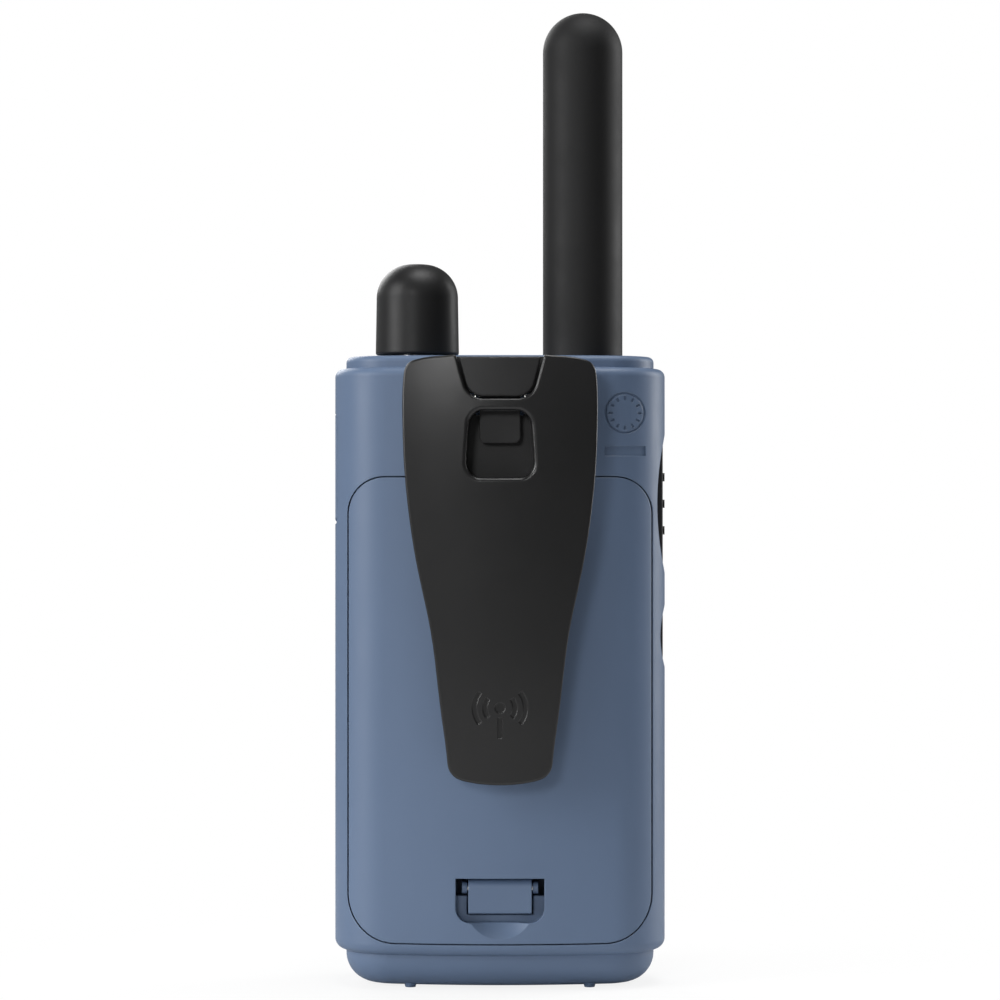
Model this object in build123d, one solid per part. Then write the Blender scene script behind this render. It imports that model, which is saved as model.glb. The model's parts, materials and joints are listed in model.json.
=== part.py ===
from build123d import *
import math
import os

# A handheld two-way radio, in millimetres, +Z up. It stands on four pips under its base. The belt
# clip is on the +Y side, the display and keys are on the -Y side, the talk button is on the -X side.
# Everything is drawn about the housing's own mid plane, y = 0, and moved by Y_SHIFT when it is
# written, so that the origin is under the middle of the whole radio, clip included.

# ---- Housing ----
BODY_W = 52.0          # across the grip band
BODY_D = 27.0          # front to back across the grip band, on the centre line
CORNER_R = 10.0        # plan corners of the grip band
CROWN_R = 90.0         # gentle curve of the front and the back in plan
FOOT_H = 0.3           # pips under the base
BAND_BOTTOM = 5.5      # the grip band starts here
BAND_TOP = 96.7        # and ends here
CAP_TOP = 98.6         # top of the housing
CAP_STEP = 1.75        # the caps are this much smaller than the band, all round
WALL = 2.0
CAP_WALL = 1.8
BAND_TOP_ROUND = 1.3
BAND_BOTTOM_ROUND = 1.65
CAP_TOP_ROUND = 0.9
CAP_BOTTOM_ROUND = 4.6
PARTING_GAP = 0.12     # between the two half shells
FOOT_X, FOOT_Y, FOOT_R = 14.0, 6.9, 1.15

# ---- Battery door, its seat and the bay ----
DOOR_X = 23.6          # half width, seen from behind
DOOR_BOTTOM, DOOR_TOP = 7.5, 79.6
DOOR_TOP_CORNER, DOOR_LOW_CORNER = 5.7, 7.3
DOOR_T = 1.6
DOOR_EDGE_Y = 5.5      # the door wraps round the corners as far forward as this
DOOR_GAP = 0.2         # line around the door
DOOR_SEAT_GAP = 0.15   # under the door
SEAT_T = 1.6
SEAT_RIM = 1.6         # how far the seat reaches past the door's outline
HOOK_X, HOOK_W, HOOK_LEN, HOOK_T = 11.0, 6.0, 1.9, 1.0
CELL_D, CELL_LEN, CELL_COUNT = 10.5, 44.5, 3
CELL_GAP = 0.15
BAY_BOTTOM, BAY_LEN = 20.5, 50.0
BAY_FLOOR_Y = -0.2     # the bay's floor, which the cells lie on
BAY_WALL = 1.0
FOAM_T = 0.8

# ---- Latch of the battery door ----
LATCH_SINK, LATCH_Z = 2.2, 16.0    # its pin, below the back's surface and above the feet
LATCH_R, LATCH_X = 1.5, 4.9        # barrel, half width
LATCH_LOW = 12.1
LATCH_PAD_T = 1.4
LATCH_PIN_R, RUN = 0.55, 0.05
TUB_SIDE, TUB_TOP, TUB_BOTTOM = 1.97, 17.6, 10.7      # tub past the latch's ends
TUB_DEPTH, TUB_FLOOR, TUB_CORNER = 2.4, 1.0, 2.3
TUB_SLOT_LOW = 14.7    # the slot over the tub's floor, where the barrel comes through
LATCH_GAP = 0.3        # under the end of the latch
SCOOP_R, SCOOP_RISE, SCOOP_LOW = 8.2, 5.6, 8.2
POCKET_SIDE, POCKET_LOW, POCKET_TOP, POCKET_DEEP = 1.33, 9.2, 18.6, 7.3

# ---- Screws that hold the shells together ----
SCREW_X, SCREW_ZS = 15.6, (12.0, 76.0)
SCREW_R, HEAD_R, HEAD_H = 1.0, 1.9, 1.3
BOSS_R = 2.4
SCREW_HEAD_Y = 6.4     # underside of the heads

# ---- Dock on the back, and the belt clip ----
DOCK_BOTTOM, DOCK_TOP = 81.2, 95.0
STEM_X, HEAD_X = 3.5, 5.5
STEM_OUT, HEAD_OUT = 1.5, 2.7      # reach past the back's centre line
SLIDE_FIT = 0.15
CARRIER_X, CARRIER_LOW, CARRIER_TOP, CARRIER_OUT = 7.3, 79.0, 98.1, 3.7
PIVOT_OUT, PIVOT_Z = 4.7, 90.9     # the clip's pin, from the back's centre line
PIN_R, EAR_R, LUG_R = 0.8, 1.65, 1.45
CLIP_REACH = 9.1       # outermost face of the clip, from the back's centre line
CLIP_TOP, CLIP_BOTTOM = 98.3, 32.5
CLIP_T = 2.1
CLIP_CROWN_R = 70.0
HORN_ROUND, CLIP_ROUND, HOLE_ROUND = 0.5, 0.35, 0.6
NOTCH_TOP_X, NOTCH_LOW_X, NOTCH_Z = 6.7, 4.9, 91.5
NOTCH_CORNER, HOLE_CORNER = 3.0, 2.3
LEVER_FIT = 0.3
LEVER_X, CATCH_X, CATCH_Z, CATCH_H = 3.1, 2.0, 86.1, 1.0
HOLE_TOP_X, HOLE_LOW_X, HOLE_TOP, HOLE_LOW = 4.6, 5.3, 89.75, 79.5
SIGN_Z, SIGN_IN, SIGN_DEEP, SIGN_LEAN = 44.4, 2.42, 0.28, 3.6     # the sign sunk in the clip

# ---- Antenna and knob ----
POST_X = 13.1          # antenna on the -X side, knob on the +X side
ANTENNA_R, ANTENNA_TOP = 6.3, 153.2
KNOB_R, KNOB_TOP, KNOB_LIFT, KNOB_DRAFT = 6.6, 113.4, 0.4, 0.15
SHAFT_R = 3.0
POST_FIT = 0.2

# ---- Front ----
FASCIA_X, FASCIA_LOW, FASCIA_TOP = 20.4, 10.0, 92.4
FASCIA_T, FASCIA_PROUD, FASCIA_GAP = 1.2, 0.35, 0.15
WINDOW_X, WINDOW_LOW, WINDOW_TOP, WINDOW_R = 11.8, 71.5, 87.5, 2.2
WINDOW_T = 1.0
SPEAKER_Z, SPEAKER_R = 28.5, 13.5
SLOT_W, SLOT_PITCH = 1.3, 2.9
KEY_PROUD, KEY_FIT, KEY_TRAVEL = 0.7, 0.25, 0.6
BOARD_Y, BOARD_T, BOARD_X = -6.2, 1.2, 18.5      # front face, thickness, half width
MAT_Y = -7.0           # front face of the keypad mat
LCD_GAP, LCD_T = 1.2, 1.6

# ---- Side buttons and port cover ----
TALK_Z, TALK_H, TALK_W, TALK_TRAVEL = 75.5, 20.1, 8.4, 1.0
SIDE_Z, SIDE_H, SIDE_W, SIDE_TRAVEL = 54.7, 8.6, 7.2, 0.6
BUTTON_FIT, BUTTON_SINK = 0.25, 0.3
FLANGE_T, FLANGE_GROW, FLANGE_GAP = 0.6, 0.6, 0.3
SWITCH_T, PLUNGER = 1.0, 0.25
SIDE_BOARD_T, SIDE_BOARD_GAP = 0.5, 1.4
PORT_Z, PORT_H, PORT_W, PORT_T, PORT_GAP = 81.0, 17.0, 9.6, 1.4, 0.15
PORT_CORNER, BEAD_R = 1.2, 0.7
JACK_Z, JACK_R, JACK_BORE = 85.0, 2.8, 1.28
USB_Z, USB_W, USB_H = 77.4, 3.0, 8.2

# ---- Worked out ----
BACK = BODY_D / 2
FAR = 100.0
CLIP_OUT = BACK + CLIP_REACH
FRONT_OUT = BACK + FASCIA_PROUD + KEY_PROUD
Y_SHIFT = (FRONT_OUT - CLIP_OUT) / 2
FLOOR_Z = FOOT_H + CAP_WALL
PIVOT_Y = BACK + PIVOT_OUT
CLIP_INNER = CLIP_OUT - CLIP_T
BAY_X = CELL_D * CELL_COUNT / 2 + CELL_GAP * (CELL_COUNT + 1) / 2 + 0.15
BAY_TOP = BAY_BOTTOM + BAY_LEN
CELL_Y = BAY_FLOOR_Y + CELL_D / 2 + CELL_GAP
LATCH_Y = BACK - LATCH_SINK
TUB_X = LATCH_X + TUB_SIDE
POCKET_X = TUB_X + POCKET_SIDE
POCKET_Y = BACK - POCKET_DEEP
LCD_Y = -BACK + WALL + LCD_GAP
SIDE_BOARD_X = BAY_X + BAY_WALL + SIDE_BOARD_GAP + SIDE_BOARD_T
SWITCH_FACE = SIDE_BOARD_X + SWITCH_T + PLUNGER

os.makedirs("parts", exist_ok=True)


# ---- Helpers ----
def along_y(sketch, y0, y1):
    """A sketch whose own axes are X and Z, pushed from y0 to y1."""
    return extrude(Plane.XZ.offset(-y0) * sketch, amount=-(y1 - y0))


def along_x(sketch, x0, x1):
    """A sketch whose own axes are Y and Z, pushed from x0 to x1."""
    return extrude(Plane.YZ.offset(x0) * sketch, amount=x1 - x0)


def along_z(sketch, z0, z1):
    return extrude(Plane.XY.offset(z0) * sketch, amount=z1 - z0)


def block(x0, x1, y0, y1, z0, z1):
    return Pos((x0 + x1) / 2, (y0 + y1) / 2, (z0 + z1) / 2) * Box(x1 - x0, y1 - y0, z1 - z0)


def rod(radius, axis, start, end, at):
    """A round bar along one axis. at gives its other two coordinates, in X, Y, Z order."""
    maker = {"X": along_x, "Y": along_y, "Z": along_z}[axis]
    return maker(Pos(at[0], at[1]) * Circle(radius), start, end)


def rounded(x0, x1, z0, z1, r):
    return Pos((x0 + x1) / 2, (z0 + z1) / 2) * RectangleRounded(x1 - x0, z1 - z0, r)


def both_sides(solid):
    return solid + mirror(solid, about=Plane.YZ)


def write(name, *solids):
    """One STEP file for one node, in the radio's frame."""
    placed = [s for shape in solids for s in (Pos(0, Y_SHIFT, 0) * shape).solids()]
    export_step(placed[0] if len(placed) == 1 else Compound(children=placed), f"parts/{name}.step")


def plan(inset):
    """Plan of the grip band, set in all round: crowned front and back, straight sides, round corners."""
    hw, hd, crown = BODY_W / 2 - inset, BODY_D / 2 - inset, CROWN_R - inset
    drop = crown - math.sqrt(crown**2 - hw**2)
    back = ThreePointArc((-hw, hd - drop), (0, hd), (hw, hd - drop))
    front = ThreePointArc((hw, drop - hd), (0, -hd), (-hw, drop - hd))
    right = Line((hw, hd - drop), (hw, drop - hd))
    left = Line((-hw, drop - hd), (-hw, hd - drop))
    return fillet(make_face([back, right, front, left]).vertices(), CORNER_R - inset)


def slab(inset, z0=-10.0, z1=FAR + 10):
    return along_z(plan(inset), z0, z1)


def skin(outer, inner, z0=-10.0, z1=FAR + 10):
    """The layer between two insets of the band."""
    return slab(outer, z0, z1) - slab(inner, z0, z1)


def round_rims(solid, z, radius):
    """Rounds every edge that lies at one height."""
    rims = [e for e in solid.edges() if abs(e.bounding_box().min.Z - z) < 1e-4
            and abs(e.bounding_box().max.Z - z) < 1e-4]
    return fillet(rims, radius)


def housing_envelope():
    band = slab(0, BAND_BOTTOM, BAND_TOP)
    band = round_rims(band, BAND_TOP, BAND_TOP_ROUND)
    band = round_rims(band, BAND_BOTTOM, BAND_BOTTOM_ROUND)
    cap = slab(CAP_STEP, FOOT_H, CAP_TOP)
    cap = round_rims(cap, CAP_TOP, CAP_TOP_ROUND)
    cap = round_rims(cap, FOOT_H, CAP_BOTTOM_ROUND)
    return band + cap


def housing_cavity():
    return slab(WALL, BAND_BOTTOM + WALL, BAND_TOP - WALL) + slab(
        CAP_STEP + CAP_WALL, FLOOR_Z, CAP_TOP - CAP_WALL)


def half(solid, side):
    """The part of a solid behind (side 1) or in front of (side -1) the parting plane."""
    gap = PARTING_GAP / 2
    keep = block(-FAR, FAR, gap, FAR, -FAR, 2 * FAR) if side > 0 else block(
        -FAR, FAR, -FAR, -gap, -FAR, 2 * FAR)
    return solid & keep


def door_sketch(grow=0.0):
    face = Pos(0, (DOOR_BOTTOM + DOOR_TOP) / 2) * Rectangle(
        2 * (DOOR_X + grow), DOOR_TOP - DOOR_BOTTOM + 2 * grow)
    face = fillet(face.vertices().sort_by(Axis.Y)[2:], DOOR_TOP_CORNER + grow)
    return fillet(face.vertices().sort_by(Axis.Y)[:2], DOOR_LOW_CORNER + grow)


def stadium(height, width, grow=0.0):
    """Long way up, in Y and Z."""
    h, w = height + 2 * grow, width + 2 * grow
    return RectangleRounded(w, h, min(w, h) / 2 - 0.01)


def port_sketch(grow=0.0):
    return Pos(0, PORT_Z) * RectangleRounded(PORT_W + 2 * grow, PORT_H + 2 * grow, PORT_CORNER + grow)


def talk_sketch(grow=0.0):
    return Pos(0, TALK_Z) * stadium(TALK_H, TALK_W, grow)


def side_sketch(grow=0.0):
    return Pos(0, SIDE_Z) * Ellipse(SIDE_W / 2 + grow, SIDE_H / 2 + grow)


def fascia_sketch(grow=0.0):
    """Squarer above, rounder below."""
    w, low, top = FASCIA_X + grow, FASCIA_LOW - grow, FASCIA_TOP + grow
    face = make_face(Polyline((-w, low), (w, low), (w, top), (-w, top), close=True))
    upper = [v for v in face.vertices() if v.Y > 50]
    face = fillet(upper, 6.0 + grow)
    lower = [v for v in face.vertices() if v.Y < low + 0.1]
    return fillet(lower, 13.0 + grow)


def post_holes():
    """Round openings in the top for the antenna and for the knob's bush."""
    return rod(ANTENNA_R + POST_FIT, "Z", CAP_TOP - CAP_WALL - 1, FAR + 10, (-POST_X, 0)) + rod(
        SHAFT_R + 1.4, "Z", CAP_TOP - CAP_WALL - 1, FAR + 10, (POST_X, 0))


def dish(z, half_x, half_y, half_z, out):
    """A shallow hollow in the side around a button."""
    return Pos(-out, 0, z) * scale(Sphere(1), by=(half_x, half_y, half_z))


def side_openings():
    """Both side buttons' openings, the port cover's recess and the sockets' holes."""
    port = along_x(port_sketch(PORT_GAP), 15, FAR) - slab(PORT_T + 0.1)
    jack = rod(JACK_R + 0.1, "X", 15, FAR, (0, JACK_Z))
    usb = along_x(Pos(0, USB_Z) * RectangleRounded(USB_W + 0.2, USB_H + 0.2, 1.2), 15, FAR)
    talk = along_x(talk_sketch(), -FAR, -15) + dish(TALK_Z, 7.3, 20.0, 16.9, BODY_W / 2 + 5.44)
    side = along_x(side_sketch(), -FAR, -15) + dish(SIDE_Z, 8.9, 20.0, 10.2, BODY_W / 2 + 7.65)
    return port + jack + usb + talk + side


def port_seat():
    return skin(PORT_T + 0.1, PORT_T + 1.4) & along_x(port_sketch(1.6), 15, FAR)


# ---- Rear housing ----
def date_dial(y_out):
    """A moulder's date insert near the top corner: two rings with ticks between, and a strip below."""
    x, z, radius, line, depth = -19.4, 89.6, 3.2, 0.3, 0.2
    rings = Circle(radius) - Circle(radius - line) + Circle(radius - 1.5) - Circle(radius - 1.5 - line)
    ticks = Sketch() + [loc * Rectangle(0.6, line) for loc in PolarLocations(radius - 0.9, 12)]
    marks = rings + ticks + Pos(0, -5.9) * Rectangle(2 * radius, 1.5)
    return along_y(Pos(x, z) * marks, 0, y_out) - slab(depth)


def latch_pocket():
    """The boxed-in well behind the latch, its outside and its inside."""
    t = 1.0
    outside = block(-POCKET_X - t, POCKET_X + t, POCKET_Y - t, FAR, POCKET_LOW - t, POCKET_TOP + t)
    inside = block(-POCKET_X, POCKET_X, POCKET_Y, FAR, POCKET_LOW, POCKET_TOP)
    return outside, inside


def latch_ears():
    ear = Pos((POCKET_Y - 0.5 + LATCH_Y) / 2, LATCH_Z) * Rectangle(LATCH_Y - POCKET_Y + 0.5, 1.8)
    ear = ear + Pos(LATCH_Y, LATCH_Z) * Circle(0.9)
    ear = ear - Pos(LATCH_Y, LATCH_Z) * Circle(LATCH_PIN_R)
    return both_sides(along_x(ear, LATCH_X + 0.2, LATCH_X + 1.0))


def dock_rail():
    """The T-shaped rail that the clip's carrier slides down, with the catch's notch in its face."""
    stem = block(-STEM_X, STEM_X, BACK - 1.0, BACK + STEM_OUT + 0.1, DOCK_BOTTOM, DOCK_TOP)
    head = block(-HEAD_X, HEAD_X, BACK + STEM_OUT, BACK + HEAD_OUT, DOCK_BOTTOM, DOCK_TOP)
    notch = block(-CATCH_X - 0.2, CATCH_X + 0.2, BACK + HEAD_OUT - 0.8, FAR,
                  CATCH_Z - CATCH_H / 2 - 0.2, CATCH_Z + CATCH_H / 2 + 0.2)
    return stem + head - notch


def make_rear_housing(envelope, cavity):
    seat_depth = DOOR_T + DOOR_SEAT_GAP
    shell = half(envelope - cavity, 1)
    seat = skin(seat_depth, seat_depth + SEAT_T, BAND_BOTTOM + 0.5, BAND_TOP - 3) & along_y(
        door_sketch(SEAT_RIM), DOOR_EDGE_Y - 0.4, FAR)
    bay_outer = block(-BAY_X - BAY_WALL, BAY_X + BAY_WALL, BAY_FLOOR_Y - BAY_WALL, FAR,
                      BAY_BOTTOM - BAY_WALL, BAY_TOP + BAY_WALL) & slab(seat_depth + 0.2)
    bay_inner = block(-BAY_X, BAY_X, BAY_FLOOR_Y, FAR, BAY_BOTTOM, BAY_TOP)
    pocket_outer, pocket_inner = latch_pocket()
    shell = shell + (port_seat() & block(0, FAR, PARTING_GAP / 2, FAR, 0, FAR))
    shell = shell - (along_y(door_sketch(DOOR_GAP), DOOR_EDGE_Y - 0.2, FAR) - slab(seat_depth))
    shell = shell + seat + bay_outer + (pocket_outer & slab(seat_depth + 0.2))
    for x in (-SCREW_X, SCREW_X):
        for z in SCREW_ZS:
            shell = shell + (rod(BOSS_R + 0.4, "Y", PARTING_GAP / 2, FAR, (x, z)) & slab(seat_depth + 0.2))
    shell = shell - bay_inner - pocket_inner
    for x in (-SCREW_X, SCREW_X):
        for z in SCREW_ZS:
            shell = shell - rod(SCREW_R + 0.2, "Y", -1, FAR, (x, z))
            shell = shell - rod(HEAD_R + 0.25, "Y", SCREW_HEAD_Y, FAR, (x, z))
    hooks = block(HOOK_X - HOOK_W / 2 - 0.3, HOOK_X + HOOK_W / 2 + 0.3, BACK - 6, FAR,
                  DOOR_TOP - 2.5, DOOR_TOP + HOOK_LEN + 0.4)
    hook_room = both_sides(hooks & skin(DOOR_T, DOOR_T + HOOK_T + 0.45))
    shell = shell - hook_room - post_holes() - side_openings() - date_dial(FAR)
    shell = shell + latch_ears() + dock_rail()
    return shell + feet(1)


def feet(side):
    on_floor = (Align.CENTER, Align.CENTER, Align.MIN)
    pips = Part()
    for x in (-FOOT_X, FOOT_X):
        pips = pips + Pos(x, side * FOOT_Y, 0) * Cone(FOOT_R - 0.35, FOOT_R, FOOT_H + 0.9, align=on_floor)
    return pips


# ---- Front housing ----
KEYS = {                                        # name: (x, z, sketch)
    "menu_key": (-12.4, 60.0, RectangleRounded(7.6, 5.0, 2.3)),
    "light_key": (12.4, 60.0, RectangleRounded(7.6, 5.0, 2.3)),
    "call_key": (0.0, 57.0, Circle(4.2)),
    "up_key": (0.0, 65.6, RectangleRounded(9.0, 4.2, 1.9)),
    "down_key": (0.0, 48.4, RectangleRounded(9.0, 4.2, 1.9)),
}


def key_openings(grow):
    cut = Part()
    for x, z, sketch in KEYS.values():
        cut = cut + along_y(Pos(x, z) * offset(sketch, grow), -FAR, 0)
    return cut


def window_opening():
    """The display's opening, smaller all round than the pane so that the pane rests on its rim."""
    rim = 0.6
    opening = rounded(-WINDOW_X + rim, WINDOW_X - rim, WINDOW_LOW + rim, WINDOW_TOP - rim, WINDOW_R - rim)
    return along_y(opening, -FAR, -5)


def mic_hole(radius):
    return rod(radius, "Y", -FAR, 0, (12.4, 50.6))


def make_front_housing(envelope, cavity):
    shell = half(envelope - cavity, -1)
    shell = shell + (port_seat() & block(0, FAR, -FAR, -PARTING_GAP / 2, 0, FAR))
    shell = shell - (along_y(fascia_sketch(FASCIA_GAP), -FAR, -5) - slab(FASCIA_T))
    for x in (-SCREW_X, SCREW_X):
        for z in SCREW_ZS:
            shell = shell + (rod(BOSS_R, "Y", -FAR, -PARTING_GAP / 2, (x, z)) & slab(FASCIA_T + 0.2))
            shell = shell - rod(SCREW_R + 0.02, "Y", -8.5, 1, (x, z))
    window = window_opening()
    sound = rod(SPEAKER_R - 1.5, "Y", -FAR, -5, (0, SPEAKER_Z))
    shell = shell - window - sound - key_openings(KEY_FIT) - mic_hole(0.8)
    shell = shell - rod(1.0, "Y", -FAR, -5, (0, 89.9))
    return shell - post_holes() - side_openings() + feet(-1)


def make_fascia():
    """The black front panel: window rebate, key openings, sound slots and microphone hole."""
    panel = skin(-FASCIA_PROUD, FASCIA_T - 0.05) & along_y(fascia_sketch(), -FAR, -5)
    window_rebate = along_y(rounded(-WINDOW_X, WINDOW_X, WINDOW_LOW, WINDOW_TOP, WINDOW_R), -FAR, -5) - slab(
        WINDOW_T - FASCIA_PROUD)
    window = window_opening()
    panel = panel - window_rebate - window - key_openings(KEY_FIT) - mic_hole(0.55)
    rows = int((SPEAKER_R - 2.6) // SLOT_PITCH)
    for i in range(-rows, rows + 1):
        z = i * SLOT_PITCH
        reach = math.sqrt((SPEAKER_R - 1.8) ** 2 - z**2)
        slot = Pos(0, SPEAKER_Z + z) * SlotOverall(2 * reach, SLOT_W)
        panel = panel - along_y(slot, -FAR, -5)
    return panel - rod(0.8, "Y", -FAR, -5, (0, 89.9))


def make_key(name):
    """A key's cap through the fascia, with a flange behind the housing's wall."""
    x, z, sketch = KEYS[name]
    at = Pos(x, z)
    cap = along_y(at * sketch, -FAR, -BACK + WALL + KEY_TRAVEL + 0.4) & slab(-FASCIA_PROUD - KEY_PROUD)
    flange = along_y(at * offset(sketch, KEY_FIT + 0.6), -FAR, -5) & skin(WALL + 0.25, WALL + 1.05)
    stem = rod(1.2, "Y", -BACK + WALL + 0.6, MAT_Y - KEY_TRAVEL - 0.15, (x, z))
    return cap + flange + stem


def sunk_icon(sketch, x, z, depth=0.2):
    return along_y(Pos(x, z) * sketch, -FAR, -5) - slab(-FASCIA_PROUD - KEY_PROUD + depth)


# ---- Battery door and latch ----
def make_battery_door():
    door = skin(0, DOOR_T, BAND_BOTTOM + 0.2, BAND_TOP) & along_y(door_sketch(), DOOR_EDGE_Y, FAR)
    tub_face = rounded(-TUB_X, TUB_X, TUB_BOTTOM, TUB_TOP, TUB_CORNER)
    tub_face = tub_face + rounded(-TUB_X, TUB_X, TUB_BOTTOM + 3, TUB_TOP, 0.2)
    floor_y = BACK - TUB_DEPTH
    tub_out = along_y(offset(tub_face, 0.9, kind=Kind.INTERSECTION), floor_y - TUB_FLOOR, BACK - 0.8)
    tub_in = along_y(tub_face, floor_y, FAR)
    slot = block(-TUB_X, TUB_X, 0, FAR, TUB_SLOT_LOW, TUB_TOP)
    above = block(-FAR, FAR, 0, BACK - DOOR_T, TUB_TOP, FAR)
    behind_pad = block(-LATCH_X - 0.25, LATCH_X + 0.25, 0, FAR, LATCH_LOW - LATCH_GAP, TUB_SLOT_LOW + 0.1)
    door = door + (tub_out - above) - tub_in - slot - behind_pad
    circle_z = SCOOP_LOW + SCOOP_RISE
    lift = math.sqrt(SCOOP_R**2 - SCOOP_RISE**2)
    scoop = Pos(0, BACK + lift, circle_z) * Sphere(SCOOP_R)
    door = door - (scoop & block(-FAR, FAR, floor_y, FAR, 0, TUB_BOTTOM + 0.5))
    hook = block(HOOK_X - HOOK_W / 2, HOOK_X + HOOK_W / 2, BACK - 6, FAR, DOOR_TOP - 2.0, DOOR_TOP + HOOK_LEN)
    hooks = both_sides(hook & skin(DOOR_T + 0.15, DOOR_T + HOOK_T + 0.1))
    root = block(HOOK_X - HOOK_W / 2, HOOK_X + HOOK_W / 2, BACK - 6, FAR, DOOR_TOP - 2.0, DOOR_TOP - 0.6)
    roots = both_sides(root & skin(DOOR_T - 0.2, DOOR_T + HOOK_T + 0.1))
    return door + hooks + roots


def make_door_latch():
    pad = Pos(LATCH_Y + LATCH_R - LATCH_PAD_T / 2, (LATCH_LOW + LATCH_Z) / 2) * Rectangle(
        LATCH_PAD_T, LATCH_Z - LATCH_LOW)
    barrel = Pos(LATCH_Y, LATCH_Z) * Circle(LATCH_R)
    bore = Pos(LATCH_Y, LATCH_Z) * Circle(LATCH_PIN_R + RUN)
    latch = along_x(pad + barrel - bore, -LATCH_X, LATCH_X)
    front = [e for e in latch.edges() if e.bounding_box().min.Y > LATCH_Y + LATCH_R - 0.01
             and e.bounding_box().size.Z < 0.01]
    return fillet(front, 0.3)


# ---- Belt clip ----
def clip_sketch():
    """The clip seen from behind: broad shoulders, a waist, and a narrow tip with a bowed end."""
    side = [(6.0, CLIP_TOP + 0.03), (10.3, CLIP_TOP - 0.35), (12.6, CLIP_TOP - 0.75), (13.75, CLIP_TOP - 1.2),
            (14.4, CLIP_TOP - 2.0), (14.7, CLIP_TOP - 3.3), (14.88, 91.6), (14.85, 87.3), (14.55, 80.3),
            (13.85, 73.5), (12.85, 67.0), (11.7, 61.5), (10.72, 56.8), (10.05, 52.4), (9.6, 48.5),
            (8.85, 42.3), (8.12, CLIP_BOTTOM + 4.1), (7.8, CLIP_BOTTOM + 2.35),
            (6.95, CLIP_BOTTOM + 1.25), (5.2, CLIP_BOTTOM + 0.55), (2.7, CLIP_BOTTOM + 0.15)]
    edge = Spline(side + [(0, CLIP_BOTTOM)] + [(-x, z) for x, z in reversed(side)])
    return make_face([edge, Line(edge @ 1, edge @ 0)])


def clip_section(z, y_out, thickness):
    """A crescent across the clip at one height."""
    w, r_out = 17.0, CLIP_CROWN_R
    r_in = r_out - thickness
    drop_out = r_out - math.sqrt(r_out**2 - w**2)
    drop_in = r_in - math.sqrt(r_in**2 - w**2)
    outer = ThreePointArc((-w, y_out - drop_out), (0, y_out), (w, y_out - drop_out))
    y_in = y_out - thickness
    inner = ThreePointArc((w, y_in - drop_in), (0, y_in), (-w, y_in - drop_in))
    ends = [Line(outer @ 1, inner @ 0), Line(inner @ 1, outer @ 0)]
    return Plane.XY.offset(z) * make_face([outer, ends[0], inner, ends[1]])


def notch_sketch(inset=0.0, top=CLIP_TOP + 3):
    """The open notch in the clip's top edge; inset makes the outline of what fills it."""
    low = NOTCH_Z + inset
    lean = (NOTCH_TOP_X - NOTCH_LOW_X) / (CLIP_TOP - NOTCH_Z)
    narrow = NOTCH_LOW_X - inset + lean * inset
    wide = narrow + lean * (top - low)
    notch = make_face(Polyline((-wide, top), (-narrow, low), (narrow, low), (wide, top), close=True))
    return fillet(notch.vertices().sort_by(Axis.Y)[:2], NOTCH_CORNER - inset / 2)


def hole_sketch():
    corners = [(-HOLE_TOP_X, HOLE_TOP), (HOLE_TOP_X, HOLE_TOP),
               (HOLE_LOW_X, HOLE_LOW), (-HOLE_LOW_X, HOLE_LOW)]
    return fillet(make_face(Polyline(*corners, close=True)).vertices(), HOLE_CORNER)


def waves_sketch():
    """A plain sign for a transmitter: a dot, two arcs either side of it, and a short stem below."""
    sign = Circle(0.8)
    for radius in (2.3, 3.9):
        ring = Circle(radius + 0.35) - Circle(radius - 0.35)
        wedge = Polyline((0, 0), (6, 4.6), (6, -4.6), close=True)
        arc = ring & make_face(wedge)
        sign = sign + arc + mirror(arc, about=Plane.YZ)
    return sign + Pos(0, -3.1) * Rectangle(0.7, 3.2)


def outer_face(solid):
    """The large face that looks away from the radio's back."""
    return max(solid.faces(), key=lambda f: f.area * f.normal_at(f.center()).Y)


def window_edges(plate):
    """The outer edges of the clip's window."""
    return [e for e in outer_face(plate).edges() if abs(e.center().X) < HOLE_LOW_X + 0.1
            and HOLE_LOW - 0.1 < e.center().Z < HOLE_TOP + 0.1]


def make_belt_clip():
    stations = [(101, 0.25, 0.0), (93, 0.0, 0.0), (84, 0.1, 0.0), (70, 0.8, 0.05), (56, 1.65, 0.1),
                (44, 2.45, 0.15), (30, 3.2, 0.2)]
    sheet = loft([clip_section(z, CLIP_OUT - inward, CLIP_T - thinner) for z, inward, thinner in stations])
    outline = clip_sketch() - notch_sketch() - hole_sketch()
    blank = along_y(outline, BACK, FAR)
    horns = [e for e in blank.edges() | Axis.Y if e.center().Z > CLIP_TOP - 1 and abs(e.center().X) < 7.5]
    plate = sheet & fillet(horns, HORN_ROUND)
    window = window_edges(plate)
    outside = [e for e in outer_face(plate).edges() if not any(e.is_same(w) for w in window)]
    plate = fillet(outside, CLIP_ROUND)
    plate = fillet(window_edges(plate), HOLE_ROUND)
    sign = Rot(-SIGN_LEAN, 0, 0) * along_y(waves_sketch(), -SIGN_DEEP, CLIP_T)
    plate = plate - Pos(0, CLIP_OUT - SIGN_IN, SIGN_Z) * sign
    ears = both_sides(eye(8.9, 10.9, EAR_R, PIVOT_Y + 3) & along_y(clip_sketch(), 0, FAR))
    ears = ears & block(-FAR, FAR, 0, CLIP_OUT - CLIP_T / 2 - 0.9, 0, FAR)
    bores = rod(PIN_R + RUN, "X", -12, 12, (PIVOT_Y, PIVOT_Z))
    return plate + ears - bores


def eye(x0, x1, radius, reach_y):
    """A pivot lug on the clip's pin, running to one side as far as reach_y."""
    lug = Pos(PIVOT_Y, PIVOT_Z) * Circle(radius)
    lug = lug + Pos((PIVOT_Y + reach_y) / 2, PIVOT_Z) * Rectangle(abs(reach_y - PIVOT_Y), 2 * radius)
    return along_x(lug, x0, x1)


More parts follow.
